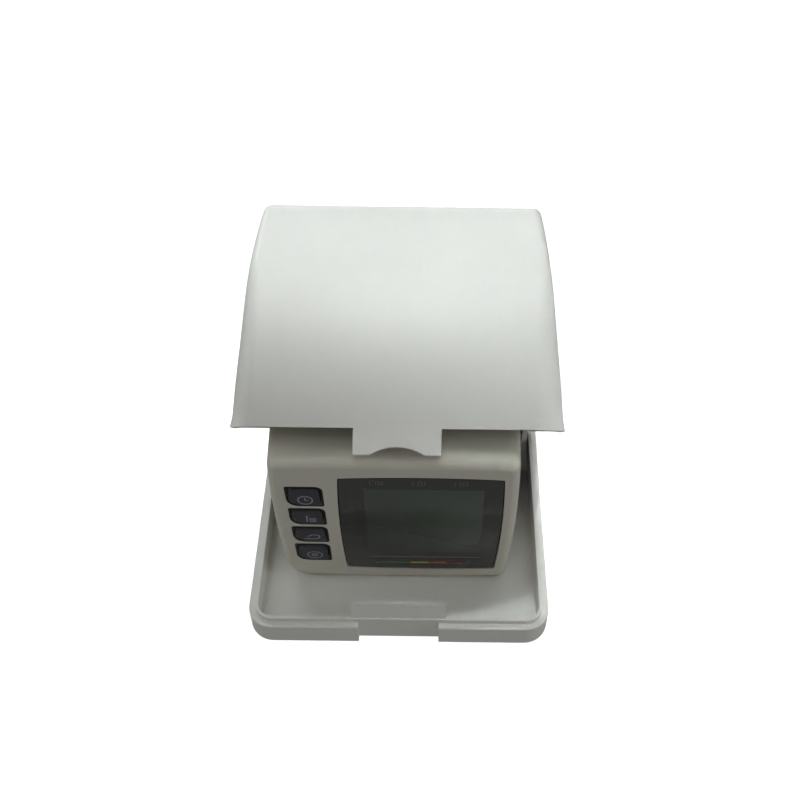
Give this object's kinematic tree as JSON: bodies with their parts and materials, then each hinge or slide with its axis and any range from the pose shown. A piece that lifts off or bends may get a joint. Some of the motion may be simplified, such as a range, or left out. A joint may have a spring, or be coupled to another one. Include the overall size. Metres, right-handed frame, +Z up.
{
  "type": "wrist blood pressure monitor in storage case",
  "caption": "Wrist blood pressure monitor with keys, display and looped cuff, standing in its hinged plastic storage case.",
  "frame": {"origin": "middle of the storage case tray's flat underside, on the surface the case stands on", "axes": "+X to the viewer's right across the display, +Y from the case's front to its hinge, +Z up"},
  "size_m": [0.0966, 0.1267, 0.1056],
  "materials": {
    "case_plastic": "satin white",
    "housing_plastic": "fine satin cream",
    "window_plastic": "polished",
    "key_plastic": "matt",
    "screen_glass": "polished",
    "bright_steel": "plated",
    "contact_brass": "plated",
    "battery_sleeve": "gloss",
    "dark_rubber": "matt",
    "board_laminate": "satin",
    "inner_plastic": "satin",
    "dark_plastic": "satin",
    "dark_cloth": "woven",
    "grey_cloth": "brushed"
  },
  "bodies": {
    "case_and_monitor": {"case_tray": "case_plastic", "hinge_pin_left": "bright_steel", "hinge_pin_right": "bright_steel", "front_cover": "housing_plastic", "rear_cover": "housing_plastic", "housing_screw_1": "bright_steel", "housing_screw_2": "bright_steel", "housing_screw_3": "bright_steel", "housing_screw_4": "bright_steel", "display_window": "window_plastic", "lcd_glass": "screen_glass", "lcd_frame": "dark_rubber", "seal_strip_upper": "dark_rubber", "seal_strip_lower": "dark_rubber", "key_pad": "dark_rubber", "circuit_board": "board_laminate", "battery_lower": "battery_sleeve", "battery_upper": "battery_sleeve", "contact_plus": "contact_brass", "contact_minus": "contact_brass", "air_pump": "inner_plastic", "pump_motor": "bright_steel", "release_valve": "dark_plastic", "hose_to_valve": "dark_rubber", "hose_to_cuff": "dark_rubber", "hose_to_sensor": "dark_rubber", "pressure_sensor": "inner_plastic", "buzzer": "dark_plastic", "control_chip": "dark_plastic", "air_nipple": "inner_plastic", "cuff_cover": "dark_cloth", "cuff_stiffener": "inner_plastic", "cuff_bladder": "dark_rubber", "cuff_lining": "grey_cloth", "cuff_binding_left": "dark_cloth", "cuff_binding_right": "dark_cloth", "hook_pad": "dark_plastic", "closing_flap": "grey_cloth"},
    "lid": {"case_lid": "case_plastic"},
    "key_one": {"key_1": "key_plastic"},
    "key_two": {"key_2": "key_plastic"},
    "key_three": {"key_3": "key_plastic"},
    "key_four": {"key_4": "key_plastic"},
    "door": {"battery_door": "housing_plastic", "battery_link": "contact_brass"},
    "pump_rotor": {"pump_cam": "dark_plastic"},
    "valve_stem": {"valve_plunger": "contact_brass"}
  },
  "joints": [
    {"name": "lid_hinge", "type": "hinge", "parent": "case_and_monitor", "child": "lid", "pos_m": [0, 0.0391, 0.0226], "axis": [-1, 0, 0], "range_deg": [-52.9, 37.1]},
    {"name": "key_one_press", "type": "slide", "parent": "case_and_monitor", "child": "key_one", "axis": [0, 0.9957, 0.0924], "range_m": [0, 0.0005], "stiffness_N_per_m": 400},
    {"name": "key_two_press", "type": "slide", "parent": "case_and_monitor", "child": "key_two", "axis": [0, 0.9957, 0.0924], "range_m": [0, 0.0005], "stiffness_N_per_m": 400},
    {"name": "key_three_press", "type": "slide", "parent": "case_and_monitor", "child": "key_three", "axis": [0, 0.9957, 0.0924], "range_m": [0, 0.0005], "stiffness_N_per_m": 400},
    {"name": "key_four_press", "type": "slide", "parent": "case_and_monitor", "child": "key_four", "axis": [0, 0.9957, 0.0924], "range_m": [0, 0.0005], "stiffness_N_per_m": 400},
    {"name": "door_slide", "type": "slide", "parent": "case_and_monitor", "child": "door", "axis": [1, 0, 0], "range_m": [0, 0.005]},
    {"name": "pump_spin", "type": "hinge", "parent": "case_and_monitor", "child": "pump_rotor", "pos_m": [0, -0.01006, 0.04448], "axis": [1, 0, 0], "continuous": true},
    {"name": "valve_press", "type": "slide", "parent": "case_and_monitor", "child": "valve_stem", "axis": [-1, 0, 0], "range_m": [0, 0.001], "stiffness_N_per_m": 100}
  ]
}
